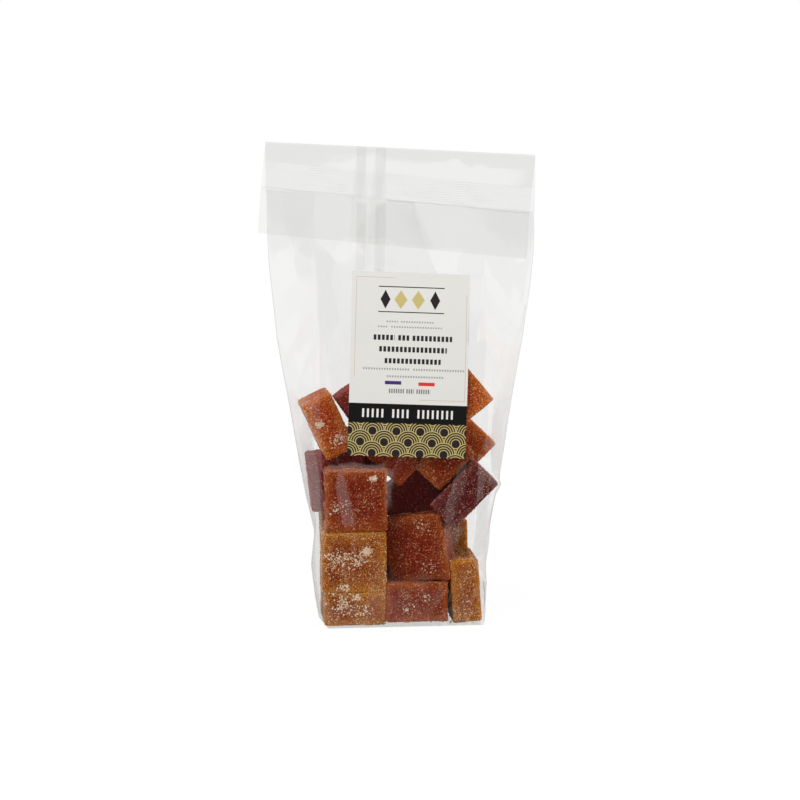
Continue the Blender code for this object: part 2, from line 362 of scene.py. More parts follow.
def startPoses(squares):
    centres, turns, halves = [], [], []
    for centre, size, steps, flavour, freedom in squares.values():
        turn = Matrix.Identity(3)
        for axis, degrees in steps:
            turn = Matrix.Rotation(math.radians(degrees), 3, axis) @ turn
        centres.append(centre)
        turns.append(np.array(turn))
        halves.append([side / 2.0 for side in size])
    return np.array(centres), np.array(turns), np.array(halves)


def boxSurfacePoints(half, radius, steps=5):
    grid = np.linspace(-1.0, 1.0, steps)
    cube = np.array([(a, b, c) for a in grid for b in grid for c in grid])
    cube = cube[np.max(np.abs(cube), axis=1) > 0.99]
    inner = cube * (half - radius)
    outward = cube / np.linalg.norm(cube, axis=1)[:, None]
    flat = np.where(np.abs(cube) > 0.99, np.sign(cube), 0.0)
    flat /= np.linalg.norm(flat, axis=1)[:, None]
    return inner + flat * radius, outward


def boxDistance(points, half, radius):
    # signed distance to a rounded box at the origin, and the way out of it
    reach = np.abs(points) - (half - radius)
    outside = np.maximum(reach, 0.0)
    length = np.linalg.norm(outside, axis=-1)
    inside = np.minimum(reach.max(axis=-1), 0.0)
    distance = length + inside - radius
    way = outside / np.maximum(length, 1e-9)[..., None]
    nearest = np.eye(3)[np.argmax(reach, axis=-1)]
    way = np.where((length > 1e-9)[..., None], way, nearest) * np.sign(points)
    return distance, way


def filmRoom(points):
    # how far each point lies outside the bag's own shape, and the way back in
    x, y, z = points[..., 0], points[..., 1], points[..., 2]
    left, right = creaseReach(z)
    deep = halfDepth(z) + settleSettings["filmGive"]
    panel = bagShape["panelHalf"]
    side = np.where(x < 0, left, right)
    pushes = np.zeros_like(points)
    worst = np.maximum(np.abs(y) - deep, 0.0)
    pushes[..., 1] -= np.sign(y) * worst
    spread = np.maximum(side - panel, 0.5)
    normal = np.stack([deep, spread], axis=-1) / np.hypot(deep, spread)[..., None]
    over = (np.abs(x) - panel) * normal[..., 0] + (np.abs(y) - deep) * normal[..., 1]
    over = np.maximum(over, 0.0)
    pushes[..., 0] -= np.sign(x) * normal[..., 0] * over
    pushes[..., 1] -= np.sign(y) * normal[..., 1] * over
    return pushes


def settleSquares(squares, settings):
    # the squares give way to each other, to the film and to the floor, and are pulled back to their places
    centres, turns, halves = startPoses(squares)
    home = centres.copy()
    freedom = np.array([square[4] for square in squares.values()])
    count = len(centres)
    radius = settings["cornerRadius"]
    local = [boxSurfacePoints(half, radius)[0] for half in halves]
    for step in range(settings["rounds"]):
        world = [centres[i] + local[i] @ turns[i].T for i in range(count)]
        shift = np.zeros((count, 3))
        twist = np.zeros((count, 3))
        hits = np.zeros(count)

        def give(i, place, move):
            if not freedom[i]:
                return
            longest = move[np.argmax(np.linalg.norm(move, axis=1))]
            shift[i] += move.mean(axis=0) * settings["pushShare"] + longest * settings["pushShare"]
            twist[i] += np.cross(place - centres[i], move).mean(axis=0) / settings["turnLever"]
            hits[i] += 1

        for i in range(count):
            room = filmRoom(world[i])
            over = np.linalg.norm(room, axis=1) > 1e-6
            if over.any():
                give(i, world[i][over], room[over])
            low = settings["floorGap"] - world[i][:, 2]
            under = low > 0
            if under.any():
                lift = np.zeros((under.sum(), 3))
                lift[:, 2] = low[under]
                give(i, world[i][under], lift)
            for j in range(count):
                if i == j or np.linalg.norm(centres[i] - centres[j]) > settings["reach"]:
                    continue
                distance, way = boxDistance((world[i] - centres[j]) @ turns[j], halves[j], radius)
                inside = distance < settings["gap"]
                if inside.any():
                    push = (way[inside] * (settings["gap"] - distance[inside])[:, None]) @ turns[j].T
                    both = max(freedom[i] + freedom[j], 1e-9)
                    give(i, world[i][inside], push * (freedom[i] / both))
                    give(j, world[i][inside], push * -freedom[j] / both)
        fade = 1.0 - step / settings["rounds"]
        for i in range(count):
            scale = 1.0 / max(hits[i], 1.0) ** 0.5
            back = (home[i] - centres[i]) * settings["pull"] * fade
            centres[i] += shift[i] * scale + back
            angle = np.linalg.norm(twist[i]) * scale * min(freedom[i] / settings["turnsAt"], 1.0)
            if angle > 1e-7:
                axis = twist[i] / np.linalg.norm(twist[i])
                turn = Matrix.Rotation(min(angle, settings["mostTurn"]), 3, Vector(axis))
                turns[i] = np.array(turn) @ turns[i]
    return centres, turns, halves


centres, turns, halves = settleSquares(jellySquares, settleSettings)
print("jelly squares settled")

flavourColours = {
    # name: (core, painted glow where light shines through the thin edges, also used for random clouds), as
    # seen in the bag
    "strawberry": ((0.150, 0.005, 0.010), (0.25, 0.028, 0.030)),
    # a copy of the strawberry colours for the squares that lie in shade at the back, raised and flattened as
    # painted light
    "strawberryDeep": ((0.420, 0.040, 0.036), (0.46, 0.060, 0.052)),
    "clementine": ((0.330, 0.016, 0.001), (0.62, 0.130, 0.011)),
    "orange": ((0.66, 0.062, 0.003), (0.95, 0.28, 0.034)),
    "orangeDeep": ((0.50, 0.032, 0.003), (0.66, 0.115, 0.020)),
    "apricot": ((0.42, 0.060, 0.004), (0.92, 0.36, 0.042)),
}


sugarCoat = {
    "patches": {"Scale": 130.0, "Detail": 3.0, "Roughness": 0.6}, "density": (0.32, 0.68, 0.45, 1.45),
    # fine grains nearly everywhere and coarse ones in patches: scale, share of the density, strength
    "grains": ((2300.0, 1.0, 0.55), (1250.0, 0.42, 1.0)), "grainEdge": (0.60, 0.25), "damp": (0.60, 0.42),
}


def makeSugarGroup(settings):
    # grains of sugar, their height, the damp patches, and painted shade in the gaps between the grains
    tree = bpy.data.node_groups.new("sugarCoat", "ShaderNodeTree")
    face = tree.interface
    face.new_socket("Coverage", in_out="INPUT", socket_type="NodeSocketFloat").default_value = 0.5
    for name in ("Sugar", "Height", "Damp", "Gap Shade"):
        face.new_socket(name, in_out="OUTPUT", socket_type="NodeSocketFloat")
    given = addNode(tree, "NodeGroupInput")
    result = addNode(tree, "NodeGroupOutput")
    coords = addNode(tree, "ShaderNodeTexCoord").outputs["Object"]
    patches = addNode(tree, "ShaderNodeTexNoise", {"Vector": coords, **settings["patches"]}).outputs["Fac"]
    density = mapRange(tree, patches, *settings["density"])
    density = maths(tree, "MULTIPLY", density, given.outputs["Coverage"])
    grains = []
    for scale, part, strength in settings["grains"]:
        cells = addNode(tree, "ShaderNodeTexVoronoi", {"Vector": coords, "Scale": scale, "Randomness": 1.0})
        pick = addNode(tree, "ShaderNodeSeparateColor", {"Color": cells.outputs["Color"]}).outputs
        chosen = maths(tree, "SUBTRACT", maths(tree, "MULTIPLY", density, part), pick[0])
        chosen = mapRange(tree, chosen, 0.0, 0.06)
        core = mapRange(tree, cells.outputs["Distance"], *settings["grainEdge"])
        grain = maths(tree, "MULTIPLY", chosen, core)
        uneven = maths(tree, "MULTIPLY_ADD", pick[1], 0.7 * strength, 0.3 * strength)
        grains.append((maths(tree, "MULTIPLY", grain, uneven), core))
    sugar = maths(tree, "MAXIMUM", grains[0][0], grains[1][0])
    height = maths(tree, "MULTIPLY_ADD", sugar, 0.8, maths(tree, "MULTIPLY", grains[0][1], 0.25))
    damp = mapRange(tree, patches, *settings["damp"])
    tree.links.new(sugar, result.inputs["Sugar"])
    tree.links.new(height, result.inputs["Height"])
    tree.links.new(damp, result.inputs["Damp"])
    # painted shade: strongest at the edges of the fine grain cells, between the grains
    tree.links.new(maths(tree, "SUBTRACT", 1.0, grains[0][1]), result.inputs["Gap Shade"])
    return tree


sugarGroup = makeSugarGroup(sugarCoat)

jellyLook = {
    "clouds": {"Scale": 75.0, "Detail": 4.0, "Roughness": 0.62}, "cloudShare": (0.3, 0.7, -0.22, 0.26),
    "sugarTone": (0.95, 0.68, 0.46), "sugarWhiteness": 0.40, "paintedGapShade": 0.62, "roughness": (0.55, 0.30),
}


def makeJellyMaterial(name, core, paintedGlow, coverage, look):
    material, tree, output = newMaterial(name)
    coords = addNode(tree, "ShaderNodeTexCoord").outputs["Object"]
    # painted glow of light through the thin edges, from the squares' edge share, plus random clouds of the
    # same colour
    edge = addNode(tree, "ShaderNodeAttribute", attribute_name="paintedGlow").outputs["Fac"]
    clouds = addNode(tree, "ShaderNodeTexNoise", {"Vector": coords, **look["clouds"]}).outputs["Fac"]
    cloud = mapRange(tree, clouds, *look["cloudShare"])
    share = addNode(tree, "ShaderNodeClamp", {"Value": maths(tree, "ADD", edge, cloud)}).outputs[0]
    body = mixColours(tree, share, (*core, 1.0), (*paintedGlow, 1.0))
    sugar = addNode(tree, "ShaderNodeGroup", node_tree=sugarGroup)
    sugar.inputs["Coverage"].default_value = coverage
    pale = mixColours(tree, look["sugarWhiteness"], (*paintedGlow, 1.0), (*look["sugarTone"], 1.0))
    # painted shade: the jelly is darkened toward black in the gaps between the sugar grains
    deep = mixColours(tree, look["paintedGapShade"], body, (0.0, 0.0, 0.0, 1.0))
    between = mixColours(tree, sugar.outputs["Gap Shade"], body, deep)
    colour = mixColours(tree, sugar.outputs["Sugar"], between, pale)
    rough = mapRange(tree, sugar.outputs["Damp"], 0.0, 1.0, *look["roughness"])
    bump = addNode(tree, "ShaderNodeBump", {
        "Height": sugar.outputs["Height"], "Strength": 0.7, "Distance": 0.0004})
    shader = addNode(tree, "ShaderNodeBsdfPrincipled", {
        "Base Color": colour, "Roughness": rough, "Normal": bump.outputs[0],
        "Subsurface Weight": 0.45, "Subsurface Radius": (1.0, 0.32, 0.12), "Subsurface Scale": 0.004,
        "Specular IOR Level": 0.10,
    })
    tree.links.new(shader.outputs[0], output.inputs["Surface"])
    return material


sugarCoverage = {"strawberry": 0.50, "strawberryDeep": 0.22, "clementine": 0.42, "orange": 0.48,
                 "orangeDeep": 0.40, "apricot": 0.60}
jellyMaterials = {
    name: makeJellyMaterial("jelly" + name[0].upper() + name[1:], core, paintedGlow, sugarCoverage[name], jellyLook)
    for name, (core, paintedGlow) in flavourColours.items()
}

jellySettings = {"seed": 5, "cuts": 9, "unevenness": 0.32, "lumps": 0.16, "paintedGlowReach": 2.4}
noise.seed_set(jellySettings["seed"])


def makeSquare(index, name, material):
    half, turn, centre = halves[index], turns[index], centres[index]
    radius = settleSettings["cornerRadius"]
    bm = bmesh.new()
    bmesh.ops.create_cube(bm, size=1.0)
    bmesh.ops.scale(bm, verts=bm.verts, vec=Vector(half * 2.0))
    bmesh.ops.bevel(bm, geom=bm.edges[:], offset=radius, affect="EDGES", segments=3, profile=0.5, material=-1)
    long = [edge for edge in bm.edges if edge.calc_length() > 5.0]
    bmesh.ops.subdivide_edges(bm, edges=long, cuts=jellySettings["cuts"], use_grid_fill=True)
    paintedGlow = bm.verts.layers.float.new("paintedGlow")
    seed = Vector((index * 7.3, index * 3.1, index * 5.7))
    slant = cutSlant.get(name, 0.0)
    for vert in bm.verts:
        place = vert.co.copy()
        gaps = sorted(half[i] - abs(place[i]) for i in range(3))
        # painted glow: a share that is full at the edges and falls off inward, standing for light through the
        # thin jelly
        vert[paintedGlow] = math.exp(-max(gaps[1], 0.0) / jellySettings["paintedGlowReach"])
        broad = noise.noise_vector(place * 0.075 + seed) * jellySettings["unevenness"]
        fine = noise.noise_vector(place * 0.42 + seed) * jellySettings["lumps"]
        vert.co = place + broad + fine
        vert.co.z -= slant * (place.x + half[0]) * max(-place.z / half[2], 0.0)
    placing = Matrix.Translation(Vector(centre)) @ Matrix(turn.tolist()).to_4x4()
    bmesh.ops.transform(bm, matrix=Matrix.Scale(millimetre, 4) @ placing, verts=bm.verts)
    return newPiece(name, bm, material)


for index, (name, square) in enumerate(jellySquares.items()):
    makeSquare(index, name, jellyMaterials[square[3]])
print("jelly squares made:", len(jellySquares))


# sugar

def makeSugarMaterial():
    material, tree, output = newMaterial("sugarCrystals")
    tone = addNode(tree, "ShaderNodeAttribute", attribute_name="tone").outputs["Color"]
    shader = addNode(tree, "ShaderNodeBsdfPrincipled", {
        "Base Color": tone, "Roughness": 0.35, "Specular IOR Level": 0.3,
        "Subsurface Weight": 0.3, "Subsurface Radius": (1.0, 0.7, 0.5), "Subsurface Scale": 0.001})
    tree.links.new(shader.outputs[0], output.inputs["Surface"])
    return material


sugarSettings = {
    "perSquareMillimetre": 0.55, "smallest": 0.26, "largest": 0.62,
    # square: clumps as place over its front face (-1 to 1), spread in millimetres and count
    "clumps": {
        "squareFrontTop": ((0.55, 0.72, 1.6, 60), (-0.6, -0.2, 5.0, 30)),
        "squareFrontMiddle": ((0.38, 0.35, 2.2, 110), (0.1, 0.05, 4.5, 60), (-0.55, 0.1, 6.0, 90),
                              (-0.3, -0.8, 3.0, 40)),
        "squareFrontFoot": ((-0.4, 0.3, 5.0, 80), (0.3, -0.2, 5.5, 60), (0.05, 0.7, 1.6, 40)),
        "squareFootMiddle": ((0.3, 0.2, 2.4, 16), (-0.3, -0.3, 3.0, 14)),
        "squareTurned": ((0.3, 0.7, 4.0, 14), (0.4, -0.6, 4.0, 14)),
        "squareLeaning": ((-0.5, 0.2, 1.7, 70), (0.2, -0.5, 4.0, 50)),
    },
    "loose": 70,
    "paleness": {"strawberry": 0.42, "strawberryDeep": 0.18, "clementine": 0.36, "orange": 0.55,
                 "orangeDeep": 0.35, "apricot": 0.72},
    "white": (0.93, 0.84, 0.68),
}
frontFaces = {"squareFrontFoot": (2, 1.0), "squareFootMiddle": (2, 1.0)}  # axis and side that face the front
sugarPieces = {"sugarOnStrawberry": ("strawberry", "strawberryDeep"), "sugarOnClementine": ("clementine",),
               "sugarOnOrange": ("orange", "orangeDeep"), "sugarOnApricot": ("apricot",)}


def makeCrystals(name, places, sizes, tones, chance, material):
    # one crystal, a small block, repeated by arrays with a turn and a size of its own
    bm = bmesh.new()
    bmesh.ops.create_cube(bm, size=1.0)
    corners = np.array([vert.co[:] for vert in bm.verts])
    sides = np.array([[vert.index for vert in face.verts] for face in bm.faces])
    bm.free()
    count = len(places)
    turn = chance.normal(size=(count, 4))
    a, b, c, d = (turn / np.linalg.norm(turn, axis=1)[:, None]).T
    spin = np.array([[1 - 2 * (c * c + d * d), 2 * (b * c - a * d), 2 * (b * d + a * c)],
                     [2 * (b * c + a * d), 1 - 2 * (b * b + d * d), 2 * (c * d - a * b)],
                     [2 * (b * d - a * c), 2 * (c * d + a * b), 1 - 2 * (b * b + c * c)]])
    shape = sizes[:, None] * np.stack([np.ones(count), chance.uniform(0.7, 1.0, count),
                                       chance.uniform(0.5, 0.9, count)], axis=1)
    points = np.einsum("xyn,nky->nkx", spin, corners[None] * shape[:, None, :]) + places[:, None, :]
    faces = sides[None] + (np.arange(count) * len(corners))[:, None, None]
    mesh = bpy.data.meshes.new(name)
    mesh.from_pydata((points.reshape(-1, 3) * millimetre).tolist(), [], faces.reshape(-1, 4).tolist())
    layer = mesh.attributes.new("tone", "FLOAT_COLOR", "POINT")
    opaque = np.ones((count * len(corners), 1))
    colours = np.concatenate([np.repeat(tones, len(corners), axis=0), opaque], axis=1)
    layer.data.foreach_set("color", colours.ravel())
    print(name, "crystals", count)
    return placeMesh(name, mesh, material)


def sugarSpots(index, name, settings, chance):
    half = halves[index]
    spots, clumped = [], []
    for axis in range(3):
        flat = [i for i in range(3) if i != axis]
        count = int(4.0 * half[flat[0]] * half[flat[1]] * settings["perSquareMillimetre"] * 1.6)
        for side in (-1.0, 1.0):
            face = chance.uniform(-0.97, 0.97, (count, 3)) * half
            face[:, axis] = side * (half[axis] + chance.uniform(-0.12, 0.02, count))
            keep = [noise.noise(Vector(spot) * 0.16 + Vector((index, 0.0, 3.0))) > limit
                    for spot, limit in zip(face, chance.uniform(-0.5, 0.4, count))]
            spots.append(face[np.array(keep)])
    axis, side = frontFaces.get(name, (1, -1.0))
    flat = [i for i in range(3) if i != axis]
    for across, up, spread, count in settings["clumps"].get(name, ()):
        clump = np.zeros((count, 3))
        clump[:, axis] = side * (half[axis] + chance.uniform(-0.1, 0.2, count))
        clump[:, flat[0]] = across * half[flat[0]] + chance.normal(0.0, spread * 0.5, count)
        clump[:, flat[1]] = up * half[flat[1]] + chance.normal(0.0, spread * 0.4, count)
        clumped.append(clump[np.all(np.abs(clump[:, flat]) < half[flat] * 0.97, axis=1)])
    spots = np.concatenate(spots)
    clumped = np.concatenate(clumped) if clumped else np.zeros((0, 3))
    return spots, clumped


def makeSugar(settings, material):
    white = np.array(settings["white"])
    for number, (pieceName, flavours) in enumerate(sugarPieces.items()):
        chance = np.random.default_rng(7 + number)
        places, sizes, tones = [], [], []
        for index, (name, square) in enumerate(jellySquares.items()):
            flavour = square[3]
            if flavour not in flavours:
                continue
            spots, clumped = sugarSpots(index, name, settings, chance)
            count, extra = len(spots), len(clumped)
            own = np.array(flavourColours[flavour][1])
            pale = np.concatenate([settings["paleness"][flavour] * chance.uniform(0.05, 1.0, count) ** 1.6,
                                   chance.uniform(0.5, 0.95, extra)])[:, None]
            grown = settings["largest"] - settings["smallest"]
            sizes.append(np.concatenate([settings["smallest"] + grown * chance.uniform(0.0, 1.0, count) ** 2,
                                         chance.uniform(0.35, 0.75, extra)]))
            places.append(centres[index] + np.concatenate([spots, clumped]) @ turns[index].T)
            tones.append(pale * white + (1.0 - pale) * own)
        makeCrystals(pieceName, np.concatenate(places), np.concatenate(sizes), np.concatenate(tones),
                     chance, material)
    chance = np.random.default_rng(3)
    fallen = chance.uniform((2.0, -22.0, 0.7), (35.0, 20.0, 0.8), (settings["loose"], 3))
    fallen = fallen[(fallen[:, 0] > 20.0) | (fallen[:, 1] > 6.0)]
    sizes = chance.uniform(0.4, 0.9, len(fallen))
    makeCrystals("sugarFallen", fallen, sizes, np.tile(white * 0.95, (len(fallen), 1)), chance, material)


makeSugar(sugarSettings, makeSugarMaterial())


# film

filmLook = {
    "tint": (0.990, 0.990, 0.987), "extra": 0.027, "fusedAndHighlightClears": 0.60, "mostMirrored": 0.34,
    # flat facets that the film creases into: how many to the metre along X, Y and Z, and their tilt
    "facets": (58.0, 58.0, 24.0), "facetTurn": 0.22, "facetTilt": 0.22,
    # the sealing jaws' fine grid, in patches: turn of its rows, pitch, and how much it darkens
    "gridTurn": 0.083, "gridPitch": 0.00105, "gridDark": 1.2,
    "mirror": (0.96, 0.96, 0.95), "roughness": 0.09,
    "ripples": {"Scale": 260.0, "Detail": 2.0}, "rippleHeight": {"Strength": 0.12, "Distance": 0.0003},
}


def makeJawGridGroup():
    # patches of fine crossed ribs, and patches of ribs one way
    tree = bpy.data.node_groups.new("jawGrid", "ShaderNodeTree")
    tree.interface.new_socket("Turn", in_out="INPUT", socket_type="NodeSocketFloat")
    tree.interface.new_socket("Pitch", in_out="INPUT", socket_type="NodeSocketFloat").default_value = 0.001
    tree.interface.new_socket("Dark", in_out="OUTPUT", socket_type="NodeSocketFloat")
    given = addNode(tree, "NodeGroupInput").outputs
    result = addNode(tree, "NodeGroupOutput")
    coords = addNode(tree, "ShaderNodeTexCoord").outputs["Object"]
    turn = addNode(tree, "ShaderNodeCombineXYZ", {"Y": maths(tree, "MULTIPLY", given["Turn"], -1.0)})
    level = addNode(tree, "ShaderNodeVectorRotate", {"Vector": coords, "Rotation": turn.outputs[0]},
                    rotation_type="EULER_XYZ").outputs[0]
    axes = addNode(tree, "ShaderNodeSeparateXYZ", {0: level}).outputs
    waves = []
    for axis in ("X", "Z"):
        phase = maths(tree, "MULTIPLY", maths(tree, "DIVIDE", axes[axis], given["Pitch"]), 2.0 * math.pi)
        waves.append(maths(tree, "MULTIPLY_ADD", maths(tree, "SINE", phase), 0.5, 0.5))
    squares = addNode(tree, "ShaderNodeMapping", {"Vector": level, "Scale": (120.0, 1.0, 260.0)})
    squares = addNode(tree, "ShaderNodeVectorMath", {0: squares.outputs[0]}, operation="FLOOR")
    patch = addNode(tree, "ShaderNodeTexWhiteNoise", {"Vector": squares.outputs[0]}, noise_dimensions="3D")
    crossed = maths(tree, "GREATER_THAN", patch.outputs["Value"], 0.55)
    along = maths(tree, "MAXIMUM", waves[0], maths(tree, "SUBTRACT", 1.0, crossed))
    strength = maths(tree, "MULTIPLY_ADD", patch.outputs["Value"], 0.7, 0.3)
    dark = maths(tree, "MULTIPLY", maths(tree, "MULTIPLY", waves[1], along), strength)
    tree.links.new(dark, result.inputs["Dark"])
    return tree


def makeFilmMaterial(name, look):
    # a clear sheet: what it mirrors grows toward grazing, the rest passes through
    material, tree, output = newMaterial(name)
    facing = addNode(tree, "ShaderNodeLayerWeight", {"Blend": 0.5}).outputs["Facing"]
    fusedAndHighlight = addNode(tree, "ShaderNodeAttribute", attribute_name="fusedAndHighlight").outputs["Fac"]
    steep = maths(tree, "POWER", facing, 5.0)
    single = maths(tree, "MULTIPLY_ADD", steep, 0.96, 0.04)
    double = maths(tree, "DIVIDE", maths(tree, "MULTIPLY", single, 2.0), maths(tree, "ADD", single, 1.0))
    double = maths(tree, "MINIMUM", maths(tree, "ADD", double, look["extra"]), look["mostMirrored"])
    # fused layers clear the film; the pillow's painted highlight rides on the same attribute
    keep = maths(tree, "MULTIPLY_ADD", fusedAndHighlight, -look["fusedAndHighlightClears"], 1.0)
    grid = addNode(tree, "ShaderNodeGroup", node_tree=makeJawGridGroup())
    grid.inputs["Turn"].default_value = look["gridTurn"]
    grid.inputs["Pitch"].default_value = look["gridPitch"]
    ribbed = addNode(tree, "ShaderNodeAttribute", attribute_name="ribbed").outputs["Fac"]
    ribs = maths(tree, "MULTIPLY", ribbed, grid.outputs["Dark"])
    keep = maths(tree, "MULTIPLY_ADD", ribs, look["gridDark"], keep)
    share = addNode(tree, "ShaderNodeClamp", {"Value": maths(tree, "MULTIPLY", double, keep)}).outputs[0]
    coords = addNode(tree, "ShaderNodeTexCoord").outputs["Object"]
    facets = addNode(tree, "ShaderNodeMapping", {
        "Vector": coords, "Rotation": (0.0, look["facetTurn"], 0.0), "Scale": look["facets"]})
    cells = addNode(tree, "ShaderNodeTexVoronoi", {
        "Vector": facets.outputs[0], "Scale": 1.0, "Randomness": 1.0})
    lean = addNode(tree, "ShaderNodeVectorMath", {0: cells.outputs["Color"], 1: (0.5, 0.5, 0.5)},
                   operation="SUBTRACT")
    amount = maths(tree, "MULTIPLY", look["facetTilt"], maths(tree, "SUBTRACT", 1.0, fusedAndHighlight))
    lean = addNode(tree, "ShaderNodeVectorMath", {0: lean.outputs[0]}, operation="SCALE")
    tree.links.new(amount, lean.inputs["Scale"])
    ripple = addNode(tree, "ShaderNodeTexNoise", {"Vector": coords, **look["ripples"]}).outputs["Fac"]
    bump = addNode(tree, "ShaderNodeBump", {"Height": ripple, **look["rippleHeight"]})
    turned = addNode(tree, "ShaderNodeVectorMath", {0: bump.outputs[0], 1: lean.outputs[0]}, operation="ADD")
    turned = addNode(tree, "ShaderNodeVectorMath", {0: turned.outputs[0]}, operation="NORMALIZE")
    clear = addNode(tree, "ShaderNodeBsdfTransparent", {"Color": (*look["tint"], 1.0)})
    gloss = addNode(tree, "ShaderNodeBsdfPrincipled", {
        "Base Color": (*look["mirror"], 1.0), "Metallic": 1.0, "Roughness": look["roughness"],
        "Normal": turned.outputs[0]})
    mixed = addNode(tree, "ShaderNodeMixShader", {0: share})
    tree.links.new(clear.outputs[0], mixed.inputs[1])
    tree.links.new(gloss.outputs[0], mixed.inputs[2])
    tree.links.new(mixed.outputs[0], output.inputs["Surface"])
    return material


filmMaterial = makeFilmMaterial("clearFilm", filmLook)


def newFilmPiece(name, bm):
    bmesh.ops.scale(bm, verts=bm.verts, vec=(millimetre,) * 3)
    piece = newPiece(name, bm, filmMaterial)
    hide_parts("bag")
    return piece


filmSettings = {
    "frontColumns": 10, "gussetColumns": 3, "rows": 25, "jitter": 0.30,
    "coarseRounds": 170, "middleRounds": 36, "fineRounds": 14,
    "suction": 0.012, "skin": 0.4, "upperHold": 0.5, "lowerHold": 0.015,
    # what stays put above, where the upper hold begins and over what height, and how wide a side crease holds
    "pinned": 6.0, "upperFrom": 92.0, "upperSpan": 26.0, "creaseHold": 0.5, "creaseWidth": 4.0,
    # share of a stretch that slack film takes back, pace of the easing, and height over the floor
    "slackShare": 0.6, "pace": 3.2, "floorGap": 0.25,
    # sharp creases of the front film: from x, z to x, z, how proud, and how wide to each side
    "creases": (
        (-34.9, 76.0, -28.9, 44.0, 0.9, 5.5), (-28.9, 44.0, -31.5, 30.0, 0.7, 5.0),
        (-31.5, 30.0, -26.5, 12.0, 0.8, 5.0), (-25.5, 43.0, -25.5, 17.0, 0.5, 2.6),
        (42.5, 66.0, 29.0, 38.0, 1.6, 5.0), (29.0, 38.0, 20.3, 9.0, 1.4, 5.0),
        (33.8, 45.0, 31.0, 30.0, 1.2, 3.0), (31.0, 30.0, 38.5, 15.0, 1.4, 5.0),
        (20.3, 9.3, 29.1, 13.5, 1.1, 2.4), (29.1, 13.5, 33.5, 22.0, 1.0, 2.6),
        (33.0, 78.0, 31.0, 41.0, 1.2, 4.0), (-41.0, 84.0, -36.0, 56.0, 1.1, 4.5),
        (40.0, 104.0, 35.5, 82.0, 1.0, 5.0), (-50.0, 168.0, -41.0, 112.0, 0.9, 8.0),
        (38.0, 172.0, 33.0, 132.0, 0.8, 9.0),
    ),
}


def filmColumns(settings):
    panel, gusset = bagShape["panelHalf"], bagShape["gussetHalf"]
    half = settings["frontColumns"] // 2
    marks = []
    side = [(gusset, settings["gussetColumns"])] * 2
    stretches = [(panel, half), *side, (2 * panel, 2 * half), *side, (panel, half)]
    start = 0.0
    for length, count in stretches:
        marks += [start + length * i / count for i in range(count)]
        start += length
    return np.array(marks), start


def scatterSum(index, values, count):
    return np.stack([np.bincount(index, weights=values[:, k], minlength=count) for k in range(3)], axis=1)


def relaxFilm(points, edges, rest, pinned, triangles, rounds, suction, boxes, home, hold, settings):
    # keeps the film's lengths, draws it softly inward, and holds it off the squares
    count = len(points)
    a, b = edges[:, 0], edges[:, 1]
    share = np.bincount(a, minlength=count) + np.bincount(b, minlength=count)
    free = (~pinned).astype(float)[:, None]
    centre, turn, half, radius = boxes
    for _ in range(rounds):
        span = points[b] - points[a]
        length = np.linalg.norm(span, axis=1)
        error = (length - rest) / np.maximum(length, 1e-6)
        weight = np.where(error > 0, 1.0, settings["slackShare"])
        fix = span * (error * weight * 0.5)[:, None]
        move = (scatterSum(a, fix, count) - scatterSum(b, fix, count)) / np.maximum(share, 1)[:, None]
        points = points + move * settings["pace"] * free
        corner = points[triangles]
        normal = np.cross(corner[:, 1] - corner[:, 0], corner[:, 2] - corner[:, 0])
        normal /= np.maximum(np.linalg.norm(normal, axis=1), 1e-9)[:, None]
        spread = scatterSum(triangles.ravel(), np.repeat(normal, 3, axis=0), count)
        spread /= np.maximum(np.linalg.norm(spread, axis=1), 1e-9)[:, None]
        points = points + spread * suction * free
        points = points + (home - points) * hold * free
        for k in range(len(centre)):
            local = (points - centre[k]) @ turn[k]
            near = np.max(np.abs(local) - half[k], axis=1) < 1.0
            if not near.any():
                continue
            distance, way = boxDistance(local[near], half[k], radius)
            inside = distance < 0
            if inside.any():
                chosen = np.flatnonzero(near)[inside]
                push = (way[inside] * -distance[inside][:, None]) @ turn[k].T
                points[chosen] += push * free[chosen]
        points[:, 2] = np.maximum(points[:, 2], settings["floorGap"])
    return points


def splitMesh(bm):
    bmesh.ops.subdivide_edges(bm, edges=bm.edges[:], cuts=1, use_grid_fill=True)
    bmesh.ops.triangulate(bm, faces=[face for face in bm.faces if len(face.verts) > 3])
    bm.verts.ensure_lookup_table()


def meshArrays(bm, flat):
    bm.verts.index_update()
    points = np.array([vert.co[:] for vert in bm.verts])
    edges = np.array([[vert.index for vert in edge.verts] for edge in bm.edges])
    triangles = np.array([[vert.index for vert in face.verts] for face in bm.faces])
    uv = np.array([(vert[flat[0]], vert[flat[1]]) for vert in bm.verts])
    return points, edges, triangles, uv


def raiseCreases(bm, creases):
    # each crease stands proud of the front film like a low roof
    front = [vert for vert in bm.verts if vert.co.y < -1.0 and 0.5 < vert.co.z < 185.0]
    places = np.array([(vert.co.x, vert.co.z) for vert in front])
    lift = np.zeros(len(front))
    for x0, z0, x1, z1, rise, wide in creases:
        start, run = np.array((x0, z0)), np.array((x1 - x0, z1 - z0))
        share = np.clip((places - start) @ run / (run @ run), 0.0, 1.0)
        away = np.linalg.norm(places - start - share[:, None] * run, axis=1)
        lift = np.maximum(lift, rise * np.clip(1.0 - away / wide, 0.0, 1.0))
    for vert, amount in zip(front, lift):
        if amount:
            vert.co += vert.normal * amount


